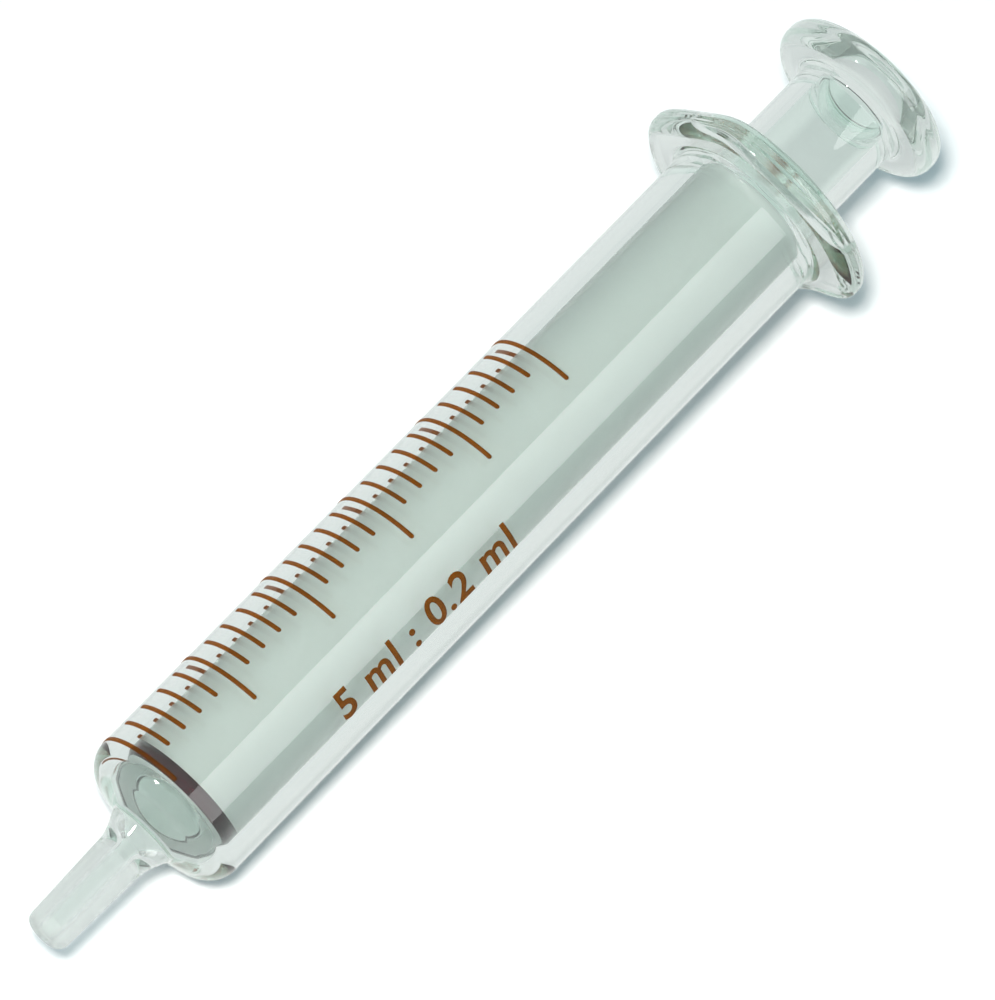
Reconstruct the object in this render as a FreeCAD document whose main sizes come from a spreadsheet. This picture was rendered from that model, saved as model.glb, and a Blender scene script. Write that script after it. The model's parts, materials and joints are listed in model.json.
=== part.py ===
import FreeCAD, Part
import math
import os
import re

import Sketcher

# All-glass syringe of 5 ml with a conical nozzle. The barrel is one piece of drawn and pressed glass, the plunger is
# another, sealed at both ends. It lies on the rim of its finger flange and on the edge of its shoulder.
#
# Each piece is drawn about its own axis: X runs from the nozzle's end to the thumb disc, with 0 at the nozzle's end,
# Z is away from the surface that the syringe lies on. A placement then leans that axis as the syringe lies.

# Driving sizes, in millimetres and degrees.
SIZES = {
    # nozzle, a male cone of 6 percent
    "nozzle_end_radius": 2.0,
    "nozzle_taper": 0.06,
    "nozzle_length": 10.0,
    "nozzle_rounding": 0.9,
    "channel_radius": 0.7,
    "channel_mouth_bevel": 0.2,
    # throat and shoulder, between nozzle and tube
    "throat_length": 2.1,
    "throat_radius": 3.24,
    "throat_root_rounding": 4.0,
    "throat_rim_rounding": 1.0,
    "shoulder_rise": 1.47,
    "shoulder_rounding": 2.5,
    # tube
    "barrel_radius": 7.65,
    "bore_radius": 5.725,
    "bore_length": 75.75,
    "seat_setback": 0.4,
    "seat_length": 5.0,
    "seat_rounding": 1.0,
    # finger flange: a round plate with two flats, turned about the axis
    "flange_radius": 11.8,
    "flange_flat_distance": 9.9,
    "flange_turn": 54.0,
    "flange_thickness": 2.9,
    "flange_corner_rounding": 4.0,
    "flange_rim_rounding": 0.9,
    "flange_root_rounding": 1.7,
    "flange_least_face": 0.25,
    "mouth_bevel": 0.6,
    # graduation, fired onto the tube's outside
    "capacity_ml": 5,
    "lines_per_ml": 5,
    "line_width": 0.4,
    "line_height": 0.05,
    "short_line_angle": 49.0,
    "short_line_turn": 36.0,
    "long_line_angle": 95.0,
    "long_line_turn": 39.5,
    # plunger
    "plunger_clearance": 0.03,
    "plunger_end_gap": 0.2,
    "plunger_end_bevel": 0.3,
    "plunger_end_wall": 1.4,
    "ground_setback": 2.0,
    "neck_relief": 0.4,
    "neck_taper_length": 1.8,
    "plunger_wall": 1.95,
    "head_radius": 8.6,
    "head_thickness": 3.05,
    "head_standoff": 10.75,
    "head_rim_rounding": 0.95,
    "head_root_rounding": 1.0,
    "dome_radius": 3.95,
    "dome_wall": 0.75,
    "recess_mouth_rounding": 2.0,
    # reading ring, fired into the plunger's end
    "ring_inset": 0.3,
    "ring_width": 1.1,
    "ring_depth": 0.12,
}

# Places along the axis, radii and the lean, worked out from the driving sizes. Each may use those before it. The
# spacing of the lines is the length of bore that holds their share of a millilitre, which is 1000 cubic millimetres.
DERIVED = {
    "nozzle_root_radius": "nozzle_end_radius + nozzle_length * nozzle_taper / 2",
    "throat_end": "nozzle_length + throat_length",
    "shoulder_end": "throat_end + shoulder_rise",
    "seat_start": "nozzle_length + seat_setback",
    "bore_start": "seat_start + seat_length",
    "barrel_end": "bore_start + bore_length",
    "flange_start": "barrel_end - flange_thickness",
    "flange_half_flat": "sqrt(flange_radius ^ 2 - flange_flat_distance ^ 2)",
    # The flange's face is narrowest at its flats, and there the root's rounding has to leave some of it.
    "flange_ledge": "flange_flat_distance - flange_rim_rounding - barrel_radius",
    "flange_root": "min(flange_root_rounding; flange_ledge - flange_least_face)",
    "zero_line": "bore_start + plunger_end_gap",
    "line_spacing": "1000 / (lines_per_ml * pi * bore_radius ^ 2)",
    "ground_radius": "bore_radius - plunger_clearance",
    "ground_end": "barrel_end - ground_setback",
    "neck_start": "ground_end + neck_taper_length",
    "neck_radius": "ground_radius - neck_relief",
    "cavity_radius": "ground_radius - plunger_wall",
    "cavity_start": "zero_line + plunger_end_wall",
    "head_start": "barrel_end + head_standoff",
    "head_end": "head_start + head_thickness",
    "dome_centre": "head_start + head_thickness / 2",
    "dome_apex": "dome_centre - dome_radius",
    "dome_root": "dome_centre - sqrt(dome_radius ^ 2 - cavity_radius ^ 2)",
    "recess_radius": "dome_radius - dome_wall",
    "ring_start": "zero_line + ring_inset",
    "ring_end": "ring_start + ring_width",
    # The surface touches two roundings, the shoulder's and the flange rim's: it is their common tangent.
    "touch_run": "flange_start + flange_rim_rounding - (shoulder_end + shoulder_rounding)",
    "touch_drop": "flange_radius - flange_rim_rounding - (barrel_radius - shoulder_rounding)",
    "lean": "atan(touch_drop / touch_run)"
            " - asin((shoulder_rounding - flange_rim_rounding) / sqrt(touch_run ^ 2 + touch_drop ^ 2))",
    "axis_height": "shoulder_rounding + (barrel_radius - shoulder_rounding) * cos(lean)"
                   " - (shoulder_end + shoulder_rounding) * sin(lean)",
    "reach_back": "nozzle_rounding * (cos(lean) - 1) - (nozzle_end_radius - nozzle_rounding) * sin(lean)",
    "reach_front": "(head_end - head_rim_rounding) * cos(lean) + (head_radius - head_rim_rounding) * sin(lean)"
                   " + head_rim_rounding",
    "axis_shift": "-(reach_back + reach_front) / 2",
}
ANGLES = ("lean",)

# How far a cutting profile runs past the end of what it cuts, and how near an edge must lie to be the one sought.
OVERRUN = 1.0
NEAR = 0.01
FULL_TURN = "360"

doc = FreeCAD.newDocument("glass_syringe")


def make_sheet():
    """Writes the driving sizes to the spreadsheet and the worked-out ones to a set of variables."""
    sheet = doc.addObject("Spreadsheet::Sheet", "sizes")
    for row, (name, size) in enumerate(SIZES.items(), start=1):
        sheet.set(f"A{row}", name)
        sheet.set(f"B{row}", str(size))
        sheet.setAlias(f"B{row}", name)
    doc.recompute()
    derived = doc.addObject("App::VarSet", "derived")
    for name, text in DERIVED.items():
        derived.addProperty("App::PropertyAngle" if name in ANGLES else "App::PropertyFloat", name)
        derived.setExpression(name, bound(text))
        doc.recompute()
    return sheet


def bound(text):
    """Turns bare size names in a formula into references to the spreadsheet and the worked-out sizes."""

    def reference(match):
        name = match.group(0)
        if name in SIZES:
            return "sizes." + name
        return "derived." + name if name in DERIVED else name

    return re.sub(r"[a-z_]+", reference, text)


def value(text):
    """The number that a formula gives now."""
    number = sizes.evalExpression(bound(text))
    return float(getattr(number, "Value", number))


def origin_part(body, role):
    """A plane or an axis of a body's own origin."""
    return next(part for part in body.Origin.OriginFeatures if part.Role == role)


def new_body(label):
    body = doc.addObject("PartDesign::Body", label)
    body.Label = label
    return body


def draw(body, name, points, plane="XZ_Plane", arcs=()):
    """Draws a closed outline whose corners are formulas. A side numbered in arcs is an arc centred on the axis."""
    sketch = body.newObject("Sketcher::SketchObject", name)
    sketch.AttachmentSupport = [(origin_part(body, plane), "")]
    sketch.MapMode = "FlatFace"
    corners = [FreeCAD.Vector(value(x), value(y), 0) for x, y in points]
    count = len(corners)
    for side in range(count):
        start, end = corners[side], corners[(side + 1) % count]
        if side in arcs:
            centre_x = (end.x ** 2 + end.y ** 2 - start.x ** 2 - start.y ** 2) / (2 * (end.x - start.x))
            centre = FreeCAD.Vector(centre_x, 0, 0)
            circle = Part.Circle(centre, FreeCAD.Vector(0, 0, 1), centre.distanceToPoint(start))
            first, last = sorted(math.atan2(p.y, p.x - centre_x) for p in (start, end))
            if last - first > math.pi:
                first, last = last, first + 2 * math.pi
            sketch.addGeometry(Part.ArcOfCircle(circle, first, last))
        else:
            sketch.addGeometry(Part.LineSegment(start, end))
    # The first and last points of each side, as the sketcher numbers them: an arc runs anticlockwise.
    ends = []
    for side in range(count):
        start, end = corners[side], corners[(side + 1) % count]
        turned = side in arcs and start.distanceToPoint(sketch.getPoint(side, 1)) > NEAR
        ends.append((2, 1) if turned else (1, 2))
    for side in range(count):
        following = (side + 1) % count
        sketch.addConstraint(Sketcher.Constraint("Coincident", side, ends[side][1], following, ends[following][0]))
    for side in arcs:
        sketch.addConstraint(Sketcher.Constraint("PointOnObject", side, 3, -1))
    for corner, (x, y) in enumerate(points):
        for axis, text in (("X", x), ("Y", y)):
            constraint = Sketcher.Constraint("Distance" + axis, -1, 1, corner, ends[corner][0], value(text))
            index = sketch.addConstraint(constraint)
            label = f"corner_{corner}_{axis.lower()}"
            sketch.renameConstraint(index, label)
            sketch.setExpression("Constraints." + label, bound(text))
    doc.recompute()
    return sketch


def turn(body, kind, name, sketch, angle=FULL_TURN):
    """Turns an outline about the syringe's axis, to add or to cut, half to each side of the outline's plane."""
    before = body.Shape.Volume if kind == "PartDesign::Groove" else 0
    feature = body.newObject(kind, name)
    feature.Profile = sketch
    feature.ReferenceAxis = (origin_part(body, "X_Axis"), [""])
    feature.Midplane = angle != FULL_TURN
    feature.setExpression("Angle", bound(angle))
    sketch.Visibility = False
    doc.recompute()
    if kind == "PartDesign::Groove" and not feature.Shape.Volume < before:
        raise ValueError(name + " cuts nothing")
    return feature


def dress_edges(body, kind, name, measure, size, chosen):
    """Dresses each edge of a body for which chosen(edge) is true, with a fillet or a chamfer of one size."""
    base = body.Tip
    names = [f"Edge{n}" for n, edge in enumerate(base.Shape.Edges, start=1) if chosen(edge)]
    if not names:
        raise ValueError(name + " finds no edge")
    dressing = body.newObject(kind, name)
    dressing.Base = (base, names)
    dressing.setExpression(measure, bound(size))
    doc.recompute()
    check_document()


def round_edges(body, name, radius, chosen):
    dress_edges(body, "PartDesign::Fillet", name, "Radius", radius, chosen)


def bevel_edges(body, name, width, chosen):
    dress_edges(body, "PartDesign::Chamfer", name, "Size", width, chosen)


def ring_edge(place, radius):
    """Chooses the round edge about the axis at a place along it."""
    x, r = value(place), value(radius)

    def chosen(edge):
        if edge.Degenerated or not isinstance(edge.Curve, Part.Circle):
            return False
        box = edge.BoundBox
        return box.XLength < NEAR and abs(box.XMin - x) < NEAR and abs(edge.Curve.Radius - r) < NEAR

    return chosen


def place_as_it_lies(body):
    """Leans a body with the syringe's axis and sets it down, centred over the origin."""
    body.Placement = FreeCAD.Placement(FreeCAD.Vector(1, 0, 1), FreeCAD.Rotation(FreeCAD.Vector(0, -1, 0), 1))
    body.setExpression("Placement.Base.x", bound("axis_shift"))
    body.setExpression("Placement.Base.z", bound("axis_height"))
    body.setExpression("Placement.Rotation.Angle", bound("lean"))


def make_barrel():
    """The tube with its shoulder, nozzle and finger flange, all one piece of glass."""
    body = new_body("barrel")
    outside = draw(body, "outside", [
        ("0", "0"),
        ("0", "nozzle_end_radius"),
        ("nozzle_length", "nozzle_root_radius"),
        ("throat_end", "throat_radius"),
        ("shoulder_end", "barrel_radius"),
        ("barrel_end", "barrel_radius"),
        ("barrel_end", "0"),
    ])
    turn(body, "PartDesign::Revolution", "blank", outside)
    round_edges(body, "shoulder", "shoulder_rounding", ring_edge("shoulder_end", "barrel_radius"))
    round_edges(body, "throat_rim", "throat_rim_rounding", ring_edge("throat_end", "throat_radius"))
    round_edges(body, "throat_root", "throat_root_rounding", ring_edge("nozzle_length", "nozzle_root_radius"))
    round_edges(body, "nozzle_nose", "nozzle_rounding", ring_edge("0", "nozzle_end_radius"))

    # Before its turn this plane runs across the syringe and away from the surface.
    plate = draw(body, "flange_outline", [
        ("flange_radius", "0"),
        ("flange_half_flat", "flange_flat_distance"),
        ("-flange_half_flat", "flange_flat_distance"),
        ("-flange_radius", "0"),
        ("-flange_half_flat", "-flange_flat_distance"),
        ("flange_half_flat", "-flange_flat_distance"),
    ], plane="YZ_Plane", arcs=(0, 2, 3, 5))
    plate.AttachmentOffset = FreeCAD.Placement(FreeCAD.Vector(), FreeCAD.Rotation(FreeCAD.Vector(0, 0, -1), 1))
    plate.setExpression("AttachmentOffset.Rotation.Angle", bound("flange_turn"))
    plate.setExpression("AttachmentOffset.Base.z", bound("flange_start"))
    pad = body.newObject("PartDesign::Pad", "flange")
    pad.Profile = plate
    pad.setExpression("Length", bound("flange_thickness"))
    plate.Visibility = False
    doc.recompute()

    turned = math.radians(value("flange_turn"))

    def corner(edge):
        box = edge.BoundBox
        along_axis = box.XLength > value("flange_thickness") - NEAR and max(box.YLength, box.ZLength) < NEAR
        distance = abs(box.Center.y * math.sin(turned) + box.Center.z * math.cos(turned))
        return along_axis and abs(distance - value("flange_flat_distance")) < NEAR

    round_edges(body, "flange_corners", "flange_corner_rounding", corner)

    def rim(edge):
        box = edge.BoundBox
        middle = edge.valueAt((edge.FirstParameter + edge.LastParameter) / 2)
        far_out = math.hypot(middle.y, middle.z) > value("barrel_radius") + NEAR
        return box.XLength < NEAR and far_out and box.XMin > value("flange_start") - NEAR

    round_edges(body, "flange_rim", "flange_rim_rounding", rim)
    round_edges(body, "flange_root", "flange_root", ring_edge("flange_start", "barrel_radius"))

    inside = draw(body, "inside", [
        (f"-{OVERRUN}", "0"),
        (f"-{OVERRUN}", "channel_radius"),
        ("seat_start", "channel_radius"),
        ("bore_start", "bore_radius"),
        (f"barrel_end + {OVERRUN}", "bore_radius"),
        (f"barrel_end + {OVERRUN}", "0"),
    ])
    turn(body, "PartDesign::Groove", "bore", inside)
    round_edges(body, "seat_rim", "seat_rounding", ring_edge("seat_start", "channel_radius"))
    bevel_edges(body, "mouth", "mouth_bevel", ring_edge("barrel_end", "bore_radius"))
    bevel_edges(body, "channel_mouth", "channel_mouth_bevel", ring_edge("0", "channel_radius"))
    return body


def add_lines(body, name, angle, middle, count, spacing):
    """Adds a row of graduation lines of one length, each an arc on the tube's outside."""
    section = draw(body, name + "_section", [
        ("zero_line - line_width / 2", "barrel_radius"),
        ("zero_line + line_width / 2", "barrel_radius"),
        ("zero_line + line_width / 2", "barrel_radius + line_height"),
        ("zero_line - line_width / 2", "barrel_radius + line_height"),
    ])
    section.AttachmentOffset = FreeCAD.Placement(FreeCAD.Vector(), FreeCAD.Rotation(FreeCAD.Vector(-1, 0, 0), 1))
    section.setExpression("AttachmentOffset.Rotation.Angle", bound(middle))
    line = turn(body, "PartDesign::Revolution", name, section, angle)
    row = body.newObject("PartDesign::LinearPattern", name + "_row")
    row.Originals = [line]
    row.Direction = (origin_part(body, "X_Axis"), [""])
    row.setExpression("Occurrences", bound(count))
    row.setExpression("Length", bound(f"({count} - 1) * {spacing}"))
    body.Tip = row
    doc.recompute()


def make_graduation():
    """The scale: a short line at each fifth of a millilitre and a long one at each whole one."""
    body = new_body("graduation")
    body.AllowCompound = True
    add_lines(body, "short_line", "short_line_angle", "short_line_turn", "(capacity_ml * lines_per_ml + 1)",
              "line_spacing")
    add_lines(body, "long_line", "long_line_angle", "long_line_turn", "(capacity_ml + 1)",
              "line_spacing * lines_per_ml")
    return body


def make_plunger():
    """The hollow plunger: a flat closed end, a ground body, a neck, and a thumb disc over a domed seal."""
    body = new_body("plunger")
    outside = draw(body, "outside", [
        ("zero_line", "0"),
        ("zero_line", "ground_radius"),
        ("ground_end", "ground_radius"),
        ("neck_start", "neck_radius"),
        ("head_start", "neck_radius"),
        ("head_start", "head_radius"),
        ("head_end", "head_radius"),
        ("head_end", "0"),
    ])
    turn(body, "PartDesign::Revolution", "blank", outside)
    bevel_edges(body, "end_edge", "plunger_end_bevel", ring_edge("zero_line", "ground_radius"))
    round_edges(body, "head_root", "head_root_rounding", ring_edge("head_start", "neck_radius"))
    round_edges(body, "head_rim_back", "head_rim_rounding", ring_edge("head_start", "head_radius"))
    round_edges(body, "head_rim_front", "head_rim_rounding", ring_edge("head_end", "head_radius"))

    recess = draw(body, "recess_outline", [
        ("dome_centre - recess_radius", "0"),
        ("dome_centre", "recess_radius"),
        (f"head_end + {OVERRUN}", "recess_radius"),
        (f"head_end + {OVERRUN}", "0"),
    ], arcs=(0,))
    turn(body, "PartDesign::Groove", "recess", recess)
    round_edges(body, "recess_mouth", "recess_mouth_rounding", ring_edge("head_end", "recess_radius"))

    cavity = draw(body, "cavity_outline", [
        ("cavity_start", "0"),
        ("cavity_start", "cavity_radius"),
        ("dome_root", "cavity_radius"),
        ("dome_apex", "0"),
    ], arcs=(2,))
    turn(body, "PartDesign::Groove", "cavity", cavity)

    groove = draw(body, "ring_seat_outline", [
        ("ring_start", "ground_radius - ring_depth"),
        ("ring_end", "ground_radius - ring_depth"),
        ("ring_end", f"ground_radius + {OVERRUN}"),
        ("ring_start", f"ground_radius + {OVERRUN}"),
    ])
    turn(body, "PartDesign::Groove", "ring_seat", groove)
    return body


def make_reading_ring():
    """The dark band at the plunger's end, against which the volume is read."""
    body = new_body("reading_ring")
    section = draw(body, "section", [
        ("ring_start", "ground_radius - ring_depth"),
        ("ring_end", "ground_radius - ring_depth"),
        ("ring_end", "ground_radius"),
        ("ring_start", "ground_radius"),
    ])
    turn(body, "PartDesign::Revolution", "band", section)
    return body


def check_document():
    """Stops if any object failed to compute."""
    for thing in doc.Objects:
        if {"Invalid", "Error"} & set(thing.State):
            raise RuntimeError(f"{thing.Label} failed: {thing.State}")


def write(piece, solids=1):
    """Checks a finished piece and writes its file."""
    shape = piece.Shape
    if shape.isNull() or not shape.isValid():
        raise RuntimeError(piece.Label + " is not a valid shape")
    if len(shape.Solids) != solids:
        raise RuntimeError(f"{piece.Label} has {len(shape.Solids)} solids, not {solids}")
    shape.exportStep(f"parts/{piece.Label}.step")
    print(f"{piece.Label}: {len(shape.Solids)} solids, {shape.Volume:.2f} mm3, {len(shape.Faces)} faces")


sizes = make_sheet()
barrel = make_barrel()
graduation = make_graduation()
plunger = make_plunger()
reading_ring = make_reading_ring()
for piece in (barrel, graduation, plunger, reading_ring):
    place_as_it_lies(piece)
doc.recompute()
check_document()

os.makedirs("parts", exist_ok=True)
write(barrel)
write(graduation, solids=round(value("capacity_ml * lines_per_ml + 1")))
write(plunger)
write(reading_ring)
for name in ("lean", "axis_shift", "axis_height", "line_spacing", "zero_line", "barrel_end", "head_end"):
    print(f"{name} {value(name):.5f}")
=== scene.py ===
"""Looks of a 5 ml all-glass syringe that lies on a pale studio floor.

The pieces are turned about the syringe's own axis, in millimetres from the end of its nozzle, and are then placed in
the row frame by the nozzle's mount.
"""
import json
import logging
import math
from dataclasses import dataclass
from enum import Enum
from typing import Callable, Iterable, Sequence

import bmesh
import bpy
from mathutils import Matrix, Vector


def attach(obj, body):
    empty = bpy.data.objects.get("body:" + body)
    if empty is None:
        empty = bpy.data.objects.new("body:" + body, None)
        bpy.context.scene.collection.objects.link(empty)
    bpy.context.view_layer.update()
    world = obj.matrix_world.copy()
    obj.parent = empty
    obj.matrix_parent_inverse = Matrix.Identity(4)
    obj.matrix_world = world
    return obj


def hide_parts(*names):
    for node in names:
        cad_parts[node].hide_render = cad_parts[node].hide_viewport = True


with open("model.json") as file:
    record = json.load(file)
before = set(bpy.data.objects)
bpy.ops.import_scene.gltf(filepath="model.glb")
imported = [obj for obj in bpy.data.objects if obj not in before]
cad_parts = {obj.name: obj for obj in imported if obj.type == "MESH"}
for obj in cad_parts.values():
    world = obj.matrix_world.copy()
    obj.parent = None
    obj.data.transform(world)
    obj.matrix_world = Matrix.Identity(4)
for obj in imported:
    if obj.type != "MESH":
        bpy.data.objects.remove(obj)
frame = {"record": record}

LOG = logging.getLogger("glass_syringe")
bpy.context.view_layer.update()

MM = 0.001
ML_IN_MM3 = 1000.0
FULL_TURN = 2 * math.pi
MERGE = 1e-5
WIDEST_OFF = math.pi / 2 - 0.1
EVEN_SHADING_WEIGHT = 60


class RayKind(Enum):
    """Kinds of ray that a shader can tell apart."""

    CAMERA = "Is Camera Ray"
    GLOSSY = "Is Glossy Ray"
    TRANSMISSION = "Is Transmission Ray"
    SHADOW = "Is Shadow Ray"


class LampUse(Enum):
    """What a lamp is set up for: to light matt surfaces, or to be seen mirrored in the glass."""

    LIGHT = "light"
    MIRRORED = "mirrored"


class LineLength(Enum):
    """Lengths of the graduation's lines, as angles round the tube."""

    SHORT = math.radians(49)
    LONG = math.radians(95)


@dataclass(frozen=True)
class Placement:
    """Where the syringe's own frame lies: X along its axis from the nozzle's end, Z away from the floor.

    Args:
        origin: the nozzle's end, in the row frame, in metres.
        along: the direction from the nozzle to the thumb disc.
    """

    origin: Vector
    along: Vector

    @classmethod
    def from_mount(cls, mount: dict) -> "Placement":
        """Reads the placement from the nozzle's mount, whose axis points out of the syringe.

        Args:
            mount: the mount, as the record gives it.

        Returns:
            The placement.
        """
        return cls(Vector(mount["pos_m"]), -Vector(mount["axis"]).normalized())

    def turn(self) -> Matrix:
        """The rotation from the syringe's own frame to the row frame."""
        across = Vector((0, 1, 0))
        return Matrix((self.along, across, self.along.cross(across))).transposed()

    def matrix(self) -> Matrix:
        """The whole change from millimetres in the syringe's own frame to metres in the row frame."""
        return Matrix.Translation(self.origin) @ self.turn().to_4x4() @ Matrix.Scale(MM, 4)


@dataclass(frozen=True)
class Corner:
    """A corner of an outline that is turned about the axis.

    Args:
        along: its place along the axis.
        out: its distance from the axis.
        rounding: the radius that rounds it, or 0 where it stays sharp.
    """

    along: float
    out: float
    rounding: float = 0.0


def linear(hex_colour: str) -> tuple[float, float, float, float]:
    """Turns an sRGB colour into the linear one that a shader takes.

    Args:
        hex_colour: six hexadecimal digits.

    Returns:
        Red, green, blue and an alpha of 1.
    """
    shares = [int(hex_colour[start:start + 2], 16) / 255 for start in (0, 2, 4)]
    red, green, blue = (s / 12.92 if s <= 0.04045 else ((s + 0.055) / 1.055) ** 2.4 for s in shares)
    return red, green, blue, 1.0


def add_node(tree: bpy.types.NodeTree, kind: str, settings: dict | None = None, inputs: dict | None = None,
             links: dict | None = None) -> bpy.types.Node:
    """Adds a node to a tree.

    Args:
        tree: the tree.
        kind: the node's type.
        settings: values for the node's own properties, by name.
        inputs: values for its sockets, by name or number.
        links: sockets that feed its own, by name or number.

    Returns:
        The node.
    """
    node = tree.nodes.new(kind)
    for name, setting in (settings or {}).items():
        setattr(node, name, setting)
    for name, number in (inputs or {}).items():
        node.inputs[name].default_value = number
    for name, source in (links or {}).items():
        tree.links.new(source, node.inputs[name])
    return node


def new_material(name: str) -> tuple[bpy.types.Material, bpy.types.NodeTree]:
    """Makes a material with nothing in its tree but an output.

    Args:
        name: its name.

    Returns:
        The material and its tree.
    """
    material = bpy.data.materials.new(name)
    material.use_nodes = True
    tree = material.node_tree
    tree.nodes.clear()
    return material, tree


@dataclass(frozen=True)
class GroundZone:
    """A stretch of a glass surface that was ground matt.

    Args:
        start: where it starts along the axis, in millimetres.
        end: where it ends.
        least_radius: how far from the axis the surface has to be, so that an inner wall there stays clear.
        face_end: up to where the surface is ground at any distance from the axis, as an end face is.
    """

    start: float
    end: float
    least_radius: float
    face_end: float


@dataclass(frozen=True)
class DrawnGlass:
    """Borosilicate glass, drawn and flame worked: it looks clear, with a green that deepens where it is thick.

    A ground stretch scatters what it passes, so it looks like frosted ice. Lamps reach through walls that they meet
    squarely, which lights what is fired onto the glass, and are turned aside by slanting ones, so the shadow has a
    dark edge.
    """

    name: str
    ground: GroundZone
    colour: str = "F4FBF8"
    depth_colour: str = "7BE6B7"
    depth_per_metre: float = 3.0
    lamp_share: float = 0.75
    slant_loss: float = 1.5
    milk: float = 0.5
    milk_colour: str = "FAFDFC"
    ior: float = 1.474
    ground_roughness: float = 0.42
    ground_edge: float = 0.25
    grit: float = 0.08
    grit_strength: float = 0.35

    def material(self, place: Placement) -> bpy.types.Material:
        """Makes the material.

        Args:
            place: the placement, from which the shader reads how far along the syringe a point is.

        Returns:
            The material.
        """
        material, tree = new_material(self.name)
        point = add_node(tree, "ShaderNodeTexCoord").outputs["Object"]
        mask = self.ground_mask(tree, point, place)
        # The grit is drawn a few times coarser than the real one, whose 0.02 mm would not show.
        grains = add_node(
            tree, "ShaderNodeTexNoise", {}, {"Scale": 1 / (self.grit * MM), "Detail": 2.0}, {"Vector": point}
        )
        bump = add_node(
            tree, "ShaderNodeBump", {}, {"Distance": self.grit * MM, "Strength": self.grit_strength},
            {"Height": grains.outputs["Fac"]},
        )
        polished = {"Base Color": linear(self.colour), "IOR": self.ior, "Transmission Weight": 1.0, "Roughness": 0.0}
        smooth = add_node(tree, "ShaderNodeBsdfPrincipled", {}, polished)
        rough = add_node(
            tree, "ShaderNodeBsdfPrincipled", {}, {**polished, "Roughness": self.ground_roughness},
            {"Normal": bump.outputs["Normal"]},
        )
        # Ground glass also scatters light both ways, which gives it an even, milky face.
        front = add_node(tree, "ShaderNodeBsdfDiffuse", {}, {"Color": linear(self.milk_colour)})
        behind = add_node(tree, "ShaderNodeBsdfTranslucent", {}, {"Color": linear(self.milk_colour)})
        scatter = add_node(
            tree, "ShaderNodeMixShader", {}, {0: 0.5}, {1: front.outputs["BSDF"], 2: behind.outputs["BSDF"]}
        )
        matt = add_node(
            tree, "ShaderNodeMixShader", {}, {0: self.milk}, {1: rough.outputs["BSDF"], 2: scatter.outputs["Shader"]}
        )
        surface = add_node(
            tree, "ShaderNodeMixShader", {}, {},
            {0: mask, 1: smooth.outputs["BSDF"], 2: matt.outputs["Shader"]},
        )
        # A lamp reaches through a wall that it meets squarely, and less and less through a slanting one.
        rays = add_node(tree, "ShaderNodeLightPath")
        slant = add_node(tree, "ShaderNodeLayerWeight", {}, {"Blend": 0.5})
        facing = add_node(tree, "ShaderNodeMath", {"operation": "SUBTRACT"}, {0: 1.0}, {1: slant.outputs["Facing"]})
        kept = add_node(
            tree, "ShaderNodeMath", {"operation": "POWER"}, {1: self.slant_loss}, {0: facing.outputs[0]}
        )
        share = add_node(
            tree, "ShaderNodeMath", {"operation": "MULTIPLY"}, {1: self.lamp_share}, {0: kept.outputs[0]}
        )
        passed = add_node(
            tree, "ShaderNodeMath", {"operation": "MULTIPLY"}, {},
            {0: rays.outputs[RayKind.SHADOW.value], 1: share.outputs[0]},
        )
        clear = add_node(tree, "ShaderNodeBsdfTransparent")
        wall = add_node(
            tree, "ShaderNodeMixShader", {}, {},
            {0: passed.outputs[0], 1: surface.outputs["Shader"], 2: clear.outputs["BSDF"]},
        )
        inside = add_node(
            tree, "ShaderNodeVolumeAbsorption", {},
            {"Color": linear(self.depth_colour), "Density": self.depth_per_metre},
        )
        add_node(
            tree, "ShaderNodeOutputMaterial", {}, {},
            {"Surface": wall.outputs["Shader"], "Volume": inside.outputs["Volume"]},
        )
        return material

    def ground_mask(self, tree: bpy.types.NodeTree, point: bpy.types.NodeSocket,
                    place: Placement) -> bpy.types.NodeSocket:
        """Adds nodes that give 1 on the ground stretch and 0 on the rest.

        Args:
            tree: the material's tree.
            point: the socket that gives the place of a point of the surface.
            place: the syringe's placement.

        Returns:
            The socket that gives the mask.
        """
        from_end = add_node(tree, "ShaderNodeVectorMath", {"operation": "SUBTRACT"}, {1: place.origin}, {0: point})
        along = add_node(
            tree, "ShaderNodeVectorMath", {"operation": "DOT_PRODUCT"}, {1: place.along}, {0: from_end.outputs[0]}
        ).outputs["Value"]
        foot = add_node(tree, "ShaderNodeVectorMath", {"operation": "SCALE"}, {0: place.along}, {"Scale": along})
        spoke = add_node(
            tree, "ShaderNodeVectorMath", {"operation": "SUBTRACT"}, {},
            {0: from_end.outputs[0], 1: foot.outputs[0]},
        )
        radius = add_node(tree, "ShaderNodeVectorMath", {"operation": "LENGTH"}, {}, {0: spoke.outputs[0]})
        parts = [
            self.step(tree, along, self.ground.start, 1),
            self.step(tree, along, self.ground.end, -1),
            add_node(
                tree, "ShaderNodeMath", {"operation": "MAXIMUM"}, {},
                {0: self.step(tree, radius.outputs["Value"], self.ground.least_radius, 1),
                 1: self.step(tree, along, self.ground.face_end, -1)},
            ).outputs[0],
        ]
        mask = parts[0]
        for part in parts[1:]:
            mask = add_node(tree, "ShaderNodeMath", {"operation": "MULTIPLY"}, {}, {0: mask, 1: part}).outputs[0]
        return mask

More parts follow.
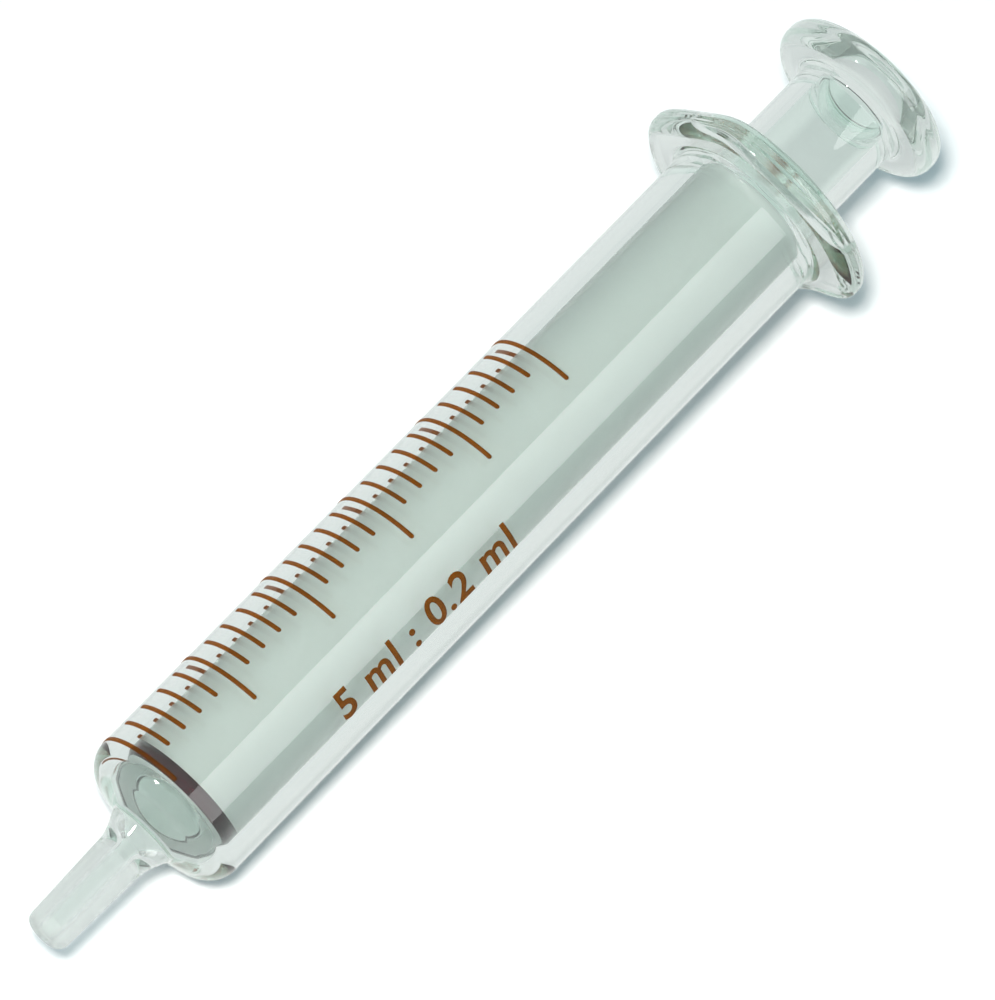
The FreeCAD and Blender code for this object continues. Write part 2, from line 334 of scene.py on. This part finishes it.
    def step(self, tree: bpy.types.NodeTree, source: bpy.types.NodeSocket, place: float,
             way: int) -> bpy.types.NodeSocket:
        """Adds a soft step from 0 to 1, or from 1 to 0 where way is negative.

        Args:
            tree: the material's tree.
            source: the socket that gives a length in metres.
            place: the length at which the step lies, in millimetres.
            way: 1 or -1.

        Returns:
            The socket that gives the step.
        """
        half = way * self.ground_edge / 2
        node = add_node(
            tree, "ShaderNodeMapRange", {"interpolation_type": "SMOOTHSTEP"},
            {"From Min": (place - half) * MM, "From Max": (place + half) * MM}, {"Value": source},
        )
        return node.outputs["Result"]


@dataclass(frozen=True)
class FiredColour:
    """Ceramic colour fired onto glass: an even, slightly glossy coat whose tone varies a little with its thickness.

    A stain lets some light through, so it looks darker over what is dark.
    """

    name: str
    thin: str
    thick: str
    roughness: float
    stain: float = 0.0
    stain_colour: str = "FFFFFF"
    blotch: float = 0.8
    ior: float = 1.5

    def material(self) -> bpy.types.Material:
        """Makes the material.

        Returns:
            The material.
        """
        material, tree = new_material(self.name)
        point = add_node(tree, "ShaderNodeTexCoord").outputs["Object"]
        cloud = add_node(
            tree, "ShaderNodeTexNoise", {}, {"Scale": 1 / (self.blotch * MM), "Detail": 4.0}, {"Vector": point}
        )
        tone = add_node(
            tree, "ShaderNodeMix", {"data_type": "RGBA"}, {6: linear(self.thin), 7: linear(self.thick)},
            {0: cloud.outputs["Fac"]},
        )
        coat = add_node(
            tree, "ShaderNodeBsdfPrincipled", {}, {"Roughness": self.roughness, "IOR": self.ior},
            {"Base Color": tone.outputs[2]},
        )
        through = add_node(tree, "ShaderNodeBsdfTransparent", {}, {"Color": linear(self.stain_colour)})
        both = add_node(
            tree, "ShaderNodeMixShader", {}, {0: self.stain},
            {1: coat.outputs["BSDF"], 2: through.outputs["BSDF"]},
        )
        add_node(tree, "ShaderNodeOutputMaterial", {}, {}, {"Surface": both.outputs["Shader"]})
        return material


@dataclass(frozen=True)
class StudioPaper:
    """Matt white paper. What looks at it sees white, and it keeps the shadow that the syringe throws.

    Each kind of ray sees a share of even white, and the rest from the light that falls on the paper.
    """

    name: str = "studio_paper"
    colour: str = "F7F8F9"
    even_white: tuple[tuple[RayKind, float], ...] = (
        (RayKind.CAMERA, 0.10), (RayKind.GLOSSY, 0.40), (RayKind.TRANSMISSION, 0.85),
    )
    white: float = 0.73

    def material(self) -> bpy.types.Material:
        """Makes the material.

        Returns:
            The material.
        """
        material, tree = new_material(self.name)
        rays = add_node(tree, "ShaderNodeLightPath")
        paper = add_node(tree, "ShaderNodeBsdfDiffuse", {}, {"Color": linear(self.colour)})
        glow = add_node(tree, "ShaderNodeEmission", {}, {"Color": (1, 1, 1, 1), "Strength": self.white})
        shares = [
            add_node(tree, "ShaderNodeMath", {"operation": "MULTIPLY"}, {1: share}, {0: rays.outputs[kind.value]})
            for kind, share in self.even_white
        ]
        total = shares[0].outputs[0]
        for share in shares[1:]:
            total = add_node(
                tree, "ShaderNodeMath", {"operation": "MAXIMUM"}, {}, {0: total, 1: share.outputs[0]}
            ).outputs[0]
        both = add_node(
            tree, "ShaderNodeMixShader", {}, {},
            {0: total, 1: paper.outputs["BSDF"], 2: glow.outputs["Emission"]},
        )
        add_node(tree, "ShaderNodeOutputMaterial", {}, {}, {"Surface": both.outputs["Shader"]})
        return material


class Lathe:
    """Turns outlines about the syringe's axis into one mesh.

    Args:
        sides: how many faces go round the axis.
        arc_step: the turn that each face of a rounding takes.
    """

    def __init__(self, sides: int = 224, arc_step: float = math.radians(3)) -> None:
        """Starts with an empty mesh."""
        self.sides = sides
        self.arc_step = arc_step
        self.mesh = bmesh.new()

    def shell(self, corners: Sequence[Corner], closed: bool = False, hollow: bool = False) -> None:
        """Turns one outline into a closed shell.

        Args:
            corners: the outline, in order. An open one starts and ends on the axis.
            closed: True for an outline that closes on itself and stays off the axis.
            hollow: True for the wall of a space inside the glass, whose faces point into that space.
        """
        old = set(self.mesh.faces)
        wire = self.outline(corners, closed)
        bmesh.ops.spin(
            self.mesh, geom=wire, cent=(0, 0, 0), axis=(1, 0, 0), dvec=(0, 0, 0), angle=FULL_TURN,
            steps=self.sides, use_merge=True, use_duplicate=False,
        )
        bmesh.ops.remove_doubles(self.mesh, verts=self.mesh.verts, dist=MERGE)
        faces = [face for face in self.mesh.faces if face not in old]
        bmesh.ops.recalc_face_normals(self.mesh, faces=faces)
        if hollow:
            bmesh.ops.reverse_faces(self.mesh, faces=faces)

    def outline(self, corners: Sequence[Corner], closed: bool) -> list:
        """Draws an outline as a wire and rounds its corners.

        Args:
            corners: the outline's corners.
            closed: True where the last corner joins the first.

        Returns:
            The wire's vertices and edges.
        """
        before = set(self.mesh.verts)
        verts = [self.mesh.verts.new((corner.along, 0, corner.out)) for corner in corners]
        count = len(verts)
        for number in range(count if closed else count - 1):
            self.mesh.edges.new((verts[number], verts[(number + 1) % count]))
        for number, corner in enumerate(corners):
            if corner.rounding:
                here = verts[number].co.copy()
                back = corners[number - 1]
                ahead = corners[(number + 1) % count]
                turn = math.pi - (Vector((back.along, 0, back.out)) - here).angle(
                    Vector((ahead.along, 0, ahead.out)) - here)
                bmesh.ops.bevel(
                    self.mesh, geom=[verts[number]], offset=corner.rounding * math.tan(turn / 2),
                    offset_type="OFFSET", segments=max(2, round(turn / self.arc_step)), profile=0.5,
                    affect="VERTICES", material=-1,
                )
        made = [vert for vert in self.mesh.verts if vert not in before]
        return made + list({edge for vert in made for edge in vert.link_edges})


def finish_piece(mesh: bmesh.types.BMesh, name: str, place: Placement,
                 materials: Iterable[bpy.types.Material]) -> bpy.types.Object:
    """Places a mesh in the row frame and makes it an object.

    Args:
        mesh: the mesh, in millimetres in the syringe's own frame. It is used up.
        name: the piece's name.
        place: the syringe's placement.
        materials: what it is dressed in.

    Returns:
        The object.
    """
    mesh.transform(place.matrix())
    for face in mesh.faces:
        face.smooth = True
    data = bpy.data.meshes.new(name)
    mesh.to_mesh(data)
    mesh.free()
    piece = bpy.data.objects.new(name, data)
    bpy.context.scene.collection.objects.link(piece)
    for material in materials:
        data.materials.append(material)
    even = piece.modifiers.new("even_shading", "WEIGHTED_NORMAL")
    even.keep_sharp = True
    even.weight = EVEN_SHADING_WEIGHT
    LOG.info("%s: %d faces", name, len(data.polygons))
    return piece


@dataclass(frozen=True)
class PressedSide:
    """A side of the finger flange that was pressed in while the glass was soft.

    Args:
        turn: its direction, from the side across the syringe towards the top.
        distance: how near it comes to the axis.
        hollow: 1 for a flat, and more where it is hollow.
    """

    turn: float
    distance: float
    hollow: float

    def reach_at(self, angle: float) -> float:
        """How far out the side lies in a direction, or infinity where it doesn't reach.

        Args:
            angle: the direction, as turn is given.

        Returns:
            The distance from the axis.
        """
        off = abs(math.remainder(angle - self.turn, FULL_TURN)) * self.hollow
        return self.distance / math.cos(off) if off < WIDEST_OFF else math.inf


@dataclass(frozen=True)
class FlangeOutline:
    """The finger flange seen along the axis: a round plate with two pressed sides that blend into it.

    Args:
        reach: the radius of the plate.
        sides: its pressed sides.
        blend: how tightly round and pressed sides meet. More is tighter.
    """

    reach: float = 11.75
    sides: tuple[PressedSide, ...] = (
        PressedSide(math.radians(41), 10.35, 1.0), PressedSide(math.radians(218), 9.25, 1.3),
    )
    blend: float = 22.0

    def reach_at(self, angle: float) -> float:
        """How far out the edge lies in a direction.

        Args:
            angle: the direction, from the side across the syringe towards the top.

        Returns:
            The distance from the axis.
        """
        reaches = [self.reach, *(side.reach_at(angle) for side in self.sides)]
        return sum(reach ** -self.blend for reach in reaches) ** (-1 / self.blend)


@dataclass
class Barrel:
    """The tube with its ground nozzle, throat, shoulder and finger flange, all one piece of glass."""

    place: Placement
    nozzle_end_radius: float = 2.0
    nozzle_root_radius: float = 2.3
    nozzle_length: float = 10.0
    nozzle_rounding: float = 0.9
    channel_radius: float = 0.7
    channel_mouth_rounding: float = 0.25
    throat_end: float = 12.1
    throat_radius: float = 3.24
    throat_root_rounding: float = 4.0
    throat_rim_rounding: float = 1.0
    shoulder_end: float = 13.57
    shoulder_rounding: float = 2.5
    tube_radius: float = 7.65
    bore_radius: float = 5.725
    seat_start: float = 10.4
    bore_start: float = 14.4
    bore_rounding: float = 1.5
    seat_rounding: float = 1.0
    end: float = 91.15
    flange_thickness: float = 2.9
    flange_rim_rounding: float = 1.3
    flange_root_rounding: float = 1.1
    mouth_rounding: float = 0.6
    ground_length: float = 9.0
    flange: FlangeOutline = FlangeOutline()

    def build(self) -> bpy.types.Object:
        """Builds the barrel and puts it in the place of its CAD node.

        Returns:
            The piece.
        """
        lathe = Lathe(sides=288)
        lathe.shell(self.corners(), closed=True)
        self.shape_flange(lathe.mesh)
        # Clear walls with thin dark edges. The cone is ground lightly, so it looks like wet ice.
        glass = DrawnGlass(
            "barrel_glass", GroundZone(-1.0, self.ground_length, self.channel_radius + 0.5, 1.5),
            lamp_share=0.95, slant_loss=2.2, milk=0.2, ground_roughness=0.2,
        ).material(self.place)
        piece = finish_piece(lathe.mesh, "barrel_glass", self.place, [glass])
        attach(piece, "barrel")
        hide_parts("barrel")
        return piece

    def corners(self) -> list[Corner]:
        """Lists the wall's outline, from the nozzle's mouth along the outside and back through the bore.

        Returns:
            The corners.
        """
        flange_start = self.end - self.flange_thickness
        reach = self.flange.reach
        return [
            Corner(0, self.channel_radius, self.channel_mouth_rounding),
            Corner(0, self.nozzle_end_radius, self.nozzle_rounding),
            Corner(self.nozzle_length, self.nozzle_root_radius, self.throat_root_rounding),
            Corner(self.throat_end, self.throat_radius, self.throat_rim_rounding),
            Corner(self.shoulder_end, self.tube_radius, self.shoulder_rounding),
            Corner(flange_start, self.tube_radius, self.flange_root_rounding),
            Corner(flange_start, reach, self.flange_rim_rounding),
            Corner(self.end, reach, self.flange_rim_rounding),
            Corner(self.end, self.bore_radius, self.mouth_rounding),
            Corner(self.bore_start, self.bore_radius, self.bore_rounding),
            Corner(self.seat_start, self.channel_radius, self.seat_rounding),
        ]

    def shape_flange(self, mesh: bmesh.types.BMesh) -> None:
        """Draws the round flange in to its true outline.

        The rim keeps its rounding and moves in as a whole, and what lies between tube and rim follows it.

        Args:
            mesh: the barrel's mesh, still round.
        """
        rim = self.flange.reach - self.flange_rim_rounding
        for vert in mesh.verts:
            spoke = Vector((0, vert.co.y, vert.co.z))
            if spoke.length > self.tube_radius + MERGE:
                moved = self.flange.reach_at(math.atan2(vert.co.z, vert.co.y)) - self.flange.reach
                share = min(1.0, (spoke.length - self.tube_radius) / (rim - self.tube_radius))
                vert.co += spoke.normalized() * moved * share


@dataclass
class Plunger:
    """The hollow plunger: a flat closed end, a ground body, a clear neck and a thumb disc over a domed seal."""

    place: Placement
    start: float = 15.6
    ground_radius: float = 5.695
    end_rounding: float = 0.3
    ground_end: float = 89.15
    neck_start: float = 90.95
    neck_radius: float = 5.295
    head_start: float = 101.9
    head_radius: float = 8.6
    head_thickness: float = 3.05
    head_root_rounding: float = 1.0
    head_rim_rounding: float = 1.35
    cavity_radius: float = 3.745
    cavity_rounding: float = 0.6
    end_wall: float = 1.4
    dome_radius: float = 3.95
    dome_wall: float = 0.75
    recess_mouth_rounding: float = 2.0
    dome_steps: int = 16

    def build(self) -> bpy.types.Object:
        """Builds the plunger and puts it in the place of its CAD node.

        Returns:
            The piece.
        """
        lathe = Lathe()
        lathe.shell(self.outside())
        lathe.shell(self.cavity(), hollow=True)
        # The body is ground matt to run in the bore: an even pale green, like frosted ice. The rest stays clear.
        glass = DrawnGlass(
            "plunger_glass",
            GroundZone(self.start - 1.0, self.ground_end, self.neck_radius, self.start - 1.0), lamp_share=0.6,
        ).material(self.place)
        piece = finish_piece(lathe.mesh, "plunger_glass", self.place, [glass])
        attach(piece, "plunger")
        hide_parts("plunger")
        return piece

    def dome(self, radius: float, first_angle: float = math.pi / 2) -> list[Corner]:
        """The corners of an arc about the dome's centre, from its root to its top on the axis.

        Args:
            radius: the arc's radius.
            first_angle: where it starts, as an angle from the axis at the dome's top.

        Returns:
            The corners.
        """
        centre = self.head_start + self.head_thickness / 2
        angles = [first_angle * (1 - step / self.dome_steps) for step in range(self.dome_steps + 1)]
        return [Corner(centre - radius * math.cos(angle), radius * math.sin(angle)) for angle in angles]

    def outside(self) -> list[Corner]:
        """Lists the outside's outline, from the closed end to the middle of the recess in the thumb disc.

        Returns:
            The corners.
        """
        head_end = self.head_start + self.head_thickness
        recess = self.dome_radius - self.dome_wall
        return [
            Corner(self.start, 0),
            Corner(self.start, self.ground_radius, self.end_rounding),
            Corner(self.ground_end, self.ground_radius),
            Corner(self.neck_start, self.neck_radius),
            Corner(self.head_start, self.neck_radius, self.head_root_rounding),
            Corner(self.head_start, self.head_radius, self.head_rim_rounding),
            Corner(head_end, self.head_radius, self.head_rim_rounding),
            Corner(head_end, recess, self.recess_mouth_rounding),
            *self.dome(recess)[1:],
        ]

    def cavity(self) -> list[Corner]:
        """Lists the outline of the closed space inside, from the end wall to the dome.

        Returns:
            The corners.
        """
        root_angle = math.asin(self.cavity_radius / self.dome_radius)
        return [
            Corner(self.start + self.end_wall, 0),
            Corner(self.start + self.end_wall, self.cavity_radius, self.cavity_rounding),
            *self.dome(self.dome_radius, root_angle),
        ]


@dataclass
class ReadingRing:
    """The dark band fired into the plunger's end. It stands a hair proud of the ground surface."""

    place: Placement
    start: float = 15.68
    width: float = 1.32
    inner_radius: float = 5.6
    outer_radius: float = 5.7

    def build(self) -> bpy.types.Object:
        """Builds the ring and puts it in the place of its CAD node.

        Returns:
            The piece.
        """
        lathe = Lathe()
        end = self.start + self.width
        lathe.shell([
            Corner(self.start, self.inner_radius), Corner(self.start, self.outer_radius),
            Corner(end, self.outer_radius), Corner(end, self.inner_radius),
        ], closed=True)
        # Dark red-brown enamel that melted smooth in the kiln: nearly black, with pale streaks of the room on it.
        enamel = FiredColour("dark_ring_enamel", thin="3A0C14", thick="1E060C", roughness=0.14)
        piece = finish_piece(lathe.mesh, "reading_ring_band", self.place, [enamel.material()])
        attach(piece, "plunger")
        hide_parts("reading_ring")
        return piece


@dataclass
class Print:
    """Amber colour fired onto the tube. A flat drawing is bent round the tube and given its thickness.

    In the drawing X runs round the tube, Y along its axis and Z away from it.
    """

    place: Placement
    tube_radius: float = 7.65
    sunk: float = 0.02
    height: float = 0.035

    def wrap(self, mesh: bmesh.types.BMesh) -> None:
        """Thickens a flat drawing and bends it round the tube.

        Args:
            mesh: the drawing, in millimetres, with its X measured from the top of the tube.
        """
        drawn = bmesh.ops.extrude_face_region(mesh, geom=mesh.faces[:])
        top = [item for item in drawn["geom"] if isinstance(item, bmesh.types.BMVert)]
        bmesh.ops.translate(mesh, vec=(0, 0, self.height + self.sunk), verts=top)
        bmesh.ops.recalc_face_normals(mesh, faces=mesh.faces[:])
        for vert in mesh.verts:
            angle = vert.co.x / self.tube_radius
            out = self.tube_radius - self.sunk + vert.co.z
            vert.co = (vert.co.y, out * math.sin(angle), out * math.cos(angle))

    def dress(self, mesh: bmesh.types.BMesh, name: str) -> bpy.types.Object:
        """Makes a wrapped drawing a piece in fired amber.

        Args:
            mesh: the wrapped drawing.
            name: the piece's name.

        Returns:
            The piece.
        """
        # Amber stain baked into the surface: a warm, dull brown that light shines through a little.
        amber = FiredColour(
            name + "_amber", thin="9A5C0A", thick="744405", roughness=0.38, stain=0.7, stain_colour="D6A058"
        )
        piece = finish_piece(mesh, name, self.place, [amber.material()])
        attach(piece, "barrel")
        return piece


@dataclass
class Graduation(Print):
    """The scale: a short line at each fifth of a millilitre and a long one at each whole one, with rounded ends."""

    zero_line: float = 15.6
    bore_radius: float = 5.725
    capacity_ml: int = 5
    lines_per_ml: int = 5
    line_width: float = 0.4
    end_share: float = 0.49
    short_middle: float = math.radians(36)
    long_middle: float = math.radians(39.5)
    segment: float = 0.25

    def build(self) -> bpy.types.Object:
        """Builds the scale and puts it in the place of its CAD node.

        Returns:
            The piece.
        """
        spacing = ML_IN_MM3 / (self.lines_per_ml * math.pi * self.bore_radius ** 2)
        mesh = bmesh.new()
        for number in range(self.capacity_ml * self.lines_per_ml + 1):
            length = LineLength.SHORT if number % self.lines_per_ml else LineLength.LONG
            self.add_line(mesh, self.zero_line + number * spacing, length)
        self.wrap(mesh)
        piece = self.dress(mesh, "graduation_lines")
        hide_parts("graduation")
        return piece

    def add_line(self, mesh: bmesh.types.BMesh, along: float, length: LineLength) -> None:
        """Adds one flat line with rounded ends to the drawing.

        Args:
            mesh: the drawing.
            along: its place along the axis.
            length: how far it goes round the tube.
        """
        half = length.value * self.tube_radius / 2
        steps = round(2 * half / self.segment)
        turn = self.short_middle if length is LineLength.SHORT else self.long_middle
        middle = turn * self.tube_radius
        place = Matrix.Translation((middle, along, 0)) @ Matrix.Diagonal((half, self.line_width / 2, 1, 1))
        made = bmesh.ops.create_grid(mesh, x_segments=steps, y_segments=1, size=1, matrix=place)["verts"]
        ends = [vert for vert in made if abs(vert.co.x - middle) > half - MERGE]
        bmesh.ops.bevel(
            mesh, geom=ends, offset=self.line_width * self.end_share, offset_type="OFFSET", segments=5, profile=0.5,
            affect="VERTICES", material=-1,
        )


@dataclass
class CapacityMark(Print):
    """A plain mark of capacity and division, in numbers and units, printed along the tube."""

    text: str = "5 ml : 0.2 ml"
    start: float = 30.0
    middle: float = math.radians(-52.6)
    cap_height: float = 2.9
    boldness: float = 0.018
    spacing: float = 1.08
    segment: float = 0.3

    def build(self) -> bpy.types.Object:
        """Builds the mark from the plain built-in letters."""
        mesh = self.letters()
        self.wrap(mesh)
        return self.dress(mesh, "capacity_mark")

    def letters(self) -> bmesh.types.BMesh:
        """Draws the letters flat, with enough cuts along their height to bend round the tube.

        Returns:
            The drawing.
        """
        curve = bpy.data.curves.new("capacity_mark", "FONT")
        curve.body = self.text
        curve.offset = self.boldness
        curve.space_character = self.spacing
        curve.resolution_u = 6
        writing = bpy.data.objects.new("capacity_writing", curve)
        bpy.context.scene.collection.objects.link(writing)
        data = bpy.data.meshes.new_from_object(writing)
        mesh = bmesh.new()
        mesh.from_mesh(data)
        bpy.data.objects.remove(writing)
        bpy.data.curves.remove(curve)
        bpy.data.meshes.remove(data)
        bmesh.ops.remove_doubles(mesh, verts=mesh.verts, dist=MERGE)
        low = min(vert.co.y for vert in mesh.verts)
        high = max(vert.co.y for vert in mesh.verts)
        left = min(vert.co.x for vert in mesh.verts)
        scale = self.cap_height / (high - low)
        for vert in mesh.verts:
            along = self.start + (vert.co.x - left) * scale
            around = self.middle * self.tube_radius + (vert.co.y - (low + high) / 2) * scale
            vert.co = (around, along, 0)
        bmesh.ops.recalc_face_normals(mesh, faces=mesh.faces[:])
        cuts = round(self.cap_height / self.segment)
        for cut in range(1, cuts):
            place = self.middle * self.tube_radius + self.cap_height * (cut / cuts - 0.5)
            bmesh.ops.bisect_plane(
                mesh, geom=mesh.verts[:] + mesh.edges[:] + mesh.faces[:], dist=MERGE, plane_co=(place, 0, 0),
                plane_no=(1, 0, 0),
            )
        return mesh


@dataclass(frozen=True)
class Lamp:
    """A soft lamp: a bright panel that faces a point of the syringe.

    Args:
        name: its name.
        around: its direction round the syringe's axis, from the top towards the graduation's side, in degrees.
        forward: how far it leans towards the thumb disc, in degrees.
        distance: how far off it is, in metres.
        width: its size round the axis, in metres.
        length: its size along the axis, in metres.
        radiance: how bright its face is, where 1 is white.
        use: what it is set up for.
        colour: its colour.
    """

    name: str
    around: float
    forward: float
    distance: float
    width: float
    length: float
    radiance: float
    use: LampUse
    colour: str = "FFFFFF"

    def build(self, place: Placement, target: Vector) -> None:
        """Sets the lamp up.

        Args:
            place: the syringe's placement.
            target: the point that it faces, in the syringe's own frame, in millimetres.
        """
        around, forward = math.radians(self.around), math.radians(self.forward)
        out = Vector((math.sin(forward), math.cos(forward) * math.sin(around), math.cos(forward) * math.cos(around)))
        aside = Vector((1, 0, 0))
        across = out.cross(aside).normalized()
        aside = across.cross(out)
        data = bpy.data.lights.new(self.name, "AREA")
        data.shape = "RECTANGLE"
        data.size = self.length
        data.size_y = self.width
        data.energy = self.radiance * math.pi * self.length * self.width
        lamp = bpy.data.objects.new(self.name, data)
        data.color = linear(self.colour)[:3]
        lamp.visible_diffuse = self.use is LampUse.LIGHT
        lamp.visible_glossy = self.use is LampUse.MIRRORED
        lamp.visible_transmission = False
        bpy.context.scene.collection.objects.link(lamp)
        turn = place.turn() @ Matrix((aside, across, out)).transposed()
        at = place.matrix() @ target + place.turn() @ out * self.distance
        lamp.matrix_world = Matrix.Translation(at) @ turn.to_4x4()


@dataclass(frozen=True)
class StudioRoom:
    """The room round the table.

    Matt things get a dim and slightly blue fill from it, glass sees its pale walls, and the camera sees white.
    """

    fill_colour: str = "A9D6E0"
    fill: float = 0.5
    walls_colour: str = "F2F6F5"
    walls: float = 0.73
    glossy_share: float = 0.5

    def build(self) -> None:
        """Builds the room."""
        world = bpy.data.worlds.new("room")
        bpy.context.scene.world = world
        world.use_nodes = True
        tree = world.node_tree
        tree.nodes.clear()
        rays = add_node(tree, "ShaderNodeLightPath")
        mirrored = add_node(
            tree, "ShaderNodeMath", {"operation": "MULTIPLY"}, {1: self.glossy_share},
            {0: rays.outputs[RayKind.GLOSSY.value]},
        )
        seen = add_node(
            tree, "ShaderNodeMath", {"operation": "MAXIMUM"}, {},
            {0: mirrored.outputs[0], 1: rays.outputs[RayKind.TRANSMISSION.value]},
        )
        fill = add_node(tree, "ShaderNodeBackground", {}, {"Color": linear(self.fill_colour), "Strength": self.fill})
        walls = add_node(
            tree, "ShaderNodeBackground", {}, {"Color": linear(self.walls_colour), "Strength": self.walls}
        )
        both = add_node(
            tree, "ShaderNodeMixShader", {}, {},
            {0: seen.outputs[0], 1: fill.outputs["Background"], 2: walls.outputs["Background"]},
        )
        white = add_node(tree, "ShaderNodeBackground", {}, {"Color": (1, 1, 1, 1), "Strength": 1.0})
        shown = add_node(
            tree, "ShaderNodeMixShader", {}, {},
            {0: rays.outputs[RayKind.CAMERA.value], 1: both.outputs["Shader"], 2: white.outputs["Background"]},
        )
        add_node(tree, "ShaderNodeOutputWorld", {}, {}, {"Surface": shown.outputs["Shader"]})


@dataclass
class Studio:
    """The pale floor, the soft lamps and the dim room round them."""

    place: Placement
    floor_size: float = 4.0
    middle: tuple[float, float, float] = (54.3, 0.0, 0.0)

    def build(self) -> None:
        """Builds the studio."""
        self.build_floor()
        StudioRoom().build()
        lamps = [
            Lamp("side_panel", around=-47.5, forward=17, distance=0.6, width=0.5, length=0.18, radiance=4.0,
                 use=LampUse.MIRRORED),
            Lamp("glint", around=20, forward=-35, distance=0.6, width=0.05, length=0.05, radiance=150,
                 use=LampUse.MIRRORED),
            Lamp("top_panel", around=-8.5, forward=-14.3, distance=0.7, width=0.105, length=0.105, radiance=154,
                 use=LampUse.LIGHT, colour="FFFAF5"),
        ]
        for lamp in lamps:
            lamp.build(self.place, Vector(self.middle))
            LOG.info("lamp %s", lamp.name)

    def build_floor(self) -> None:
        """Builds the floor."""
        mesh = bmesh.new()
        bmesh.ops.create_grid(mesh, x_segments=1, y_segments=1, size=self.floor_size / 2)
        data = bpy.data.meshes.new("floor")
        mesh.to_mesh(data)
        mesh.free()
        floor = bpy.data.objects.new("floor", data)
        bpy.context.scene.collection.objects.link(floor)
        data.materials.append(StudioPaper().material())


@dataclass
class Viewpoint:
    """The camera, at the photograph's angle to the syringe's own frame.

    Args:
        place: the syringe's placement.
        azimuth: its direction round the upright, from the side across the axis, in degrees.
        elevation: its angle over the axis, in degrees.
        distance: how far it is from its target, in metres.
        target: what it looks at, in the syringe's own frame, in millimetres.
        lens: its focal length, in millimetres, on a sensor as wide as the picture's longer side.
    """

    place: Placement
    azimuth: float = -48.11
    elevation: float = 67.08
    distance: float = 0.682
    target: tuple[float, float, float] = (54.36, -1.87, 0.0)
    lens: float = 289.8
    sensor: float = 36.0

    def build(self) -> bpy.types.Object:
        """Sets the camera up.

        Returns:
            The camera.
        """
        azimuth, elevation = math.radians(self.azimuth), math.radians(self.elevation)
        back = Vector((
            math.sin(azimuth) * math.cos(elevation), -math.cos(azimuth) * math.cos(elevation), math.sin(elevation)
        ))
        right = Vector((math.cos(azimuth), math.sin(azimuth), 0))
        turn = self.place.turn() @ Matrix((right, back.cross(right), back)).transposed()
        data = bpy.data.cameras.new("view")
        data.lens = self.lens
        data.sensor_width = self.sensor
        camera = bpy.data.objects.new("view", data)
        bpy.context.scene.collection.objects.link(camera)
        at = self.place.matrix() @ Vector(self.target) + self.place.turn() @ back * self.distance
        camera.matrix_world = Matrix.Translation(at) @ turn.to_4x4()
        bpy.context.scene.camera = camera
        return camera


def set_render_depth() -> None:
    """Lets light pass through all the walls of one glass tube inside another."""
    scene = bpy.context.scene
    scene.view_settings.view_transform = "Standard"
    scene.cycles.max_bounces = 96
    scene.cycles.transmission_bounces = 96
    scene.cycles.transparent_max_bounces = 32
    scene.cycles.glossy_bounces = 64
    scene.cycles.diffuse_bounces = 24


def main() -> None:
    """Builds the syringe, its studio and its camera, and reports each piece."""
    logging.basicConfig(level=logging.INFO, format="%(name)s: %(message)s")
    mounts = {mount["name"]: mount for mount in frame["record"]["mounts"]}
    place = Placement.from_mount(mounts["nozzle_cone"])
    set_render_depth()
    Viewpoint(place).build()
    Studio(place).build()
    builders: list[Callable[[], bpy.types.Object]] = [
        Barrel(place).build, Graduation(place).build, CapacityMark(place).build, Plunger(place).build,
        ReadingRing(place).build,
    ]
    for build in builders:
        LOG.info("built %s", build().name)


if __name__ == "__main__":
    main()
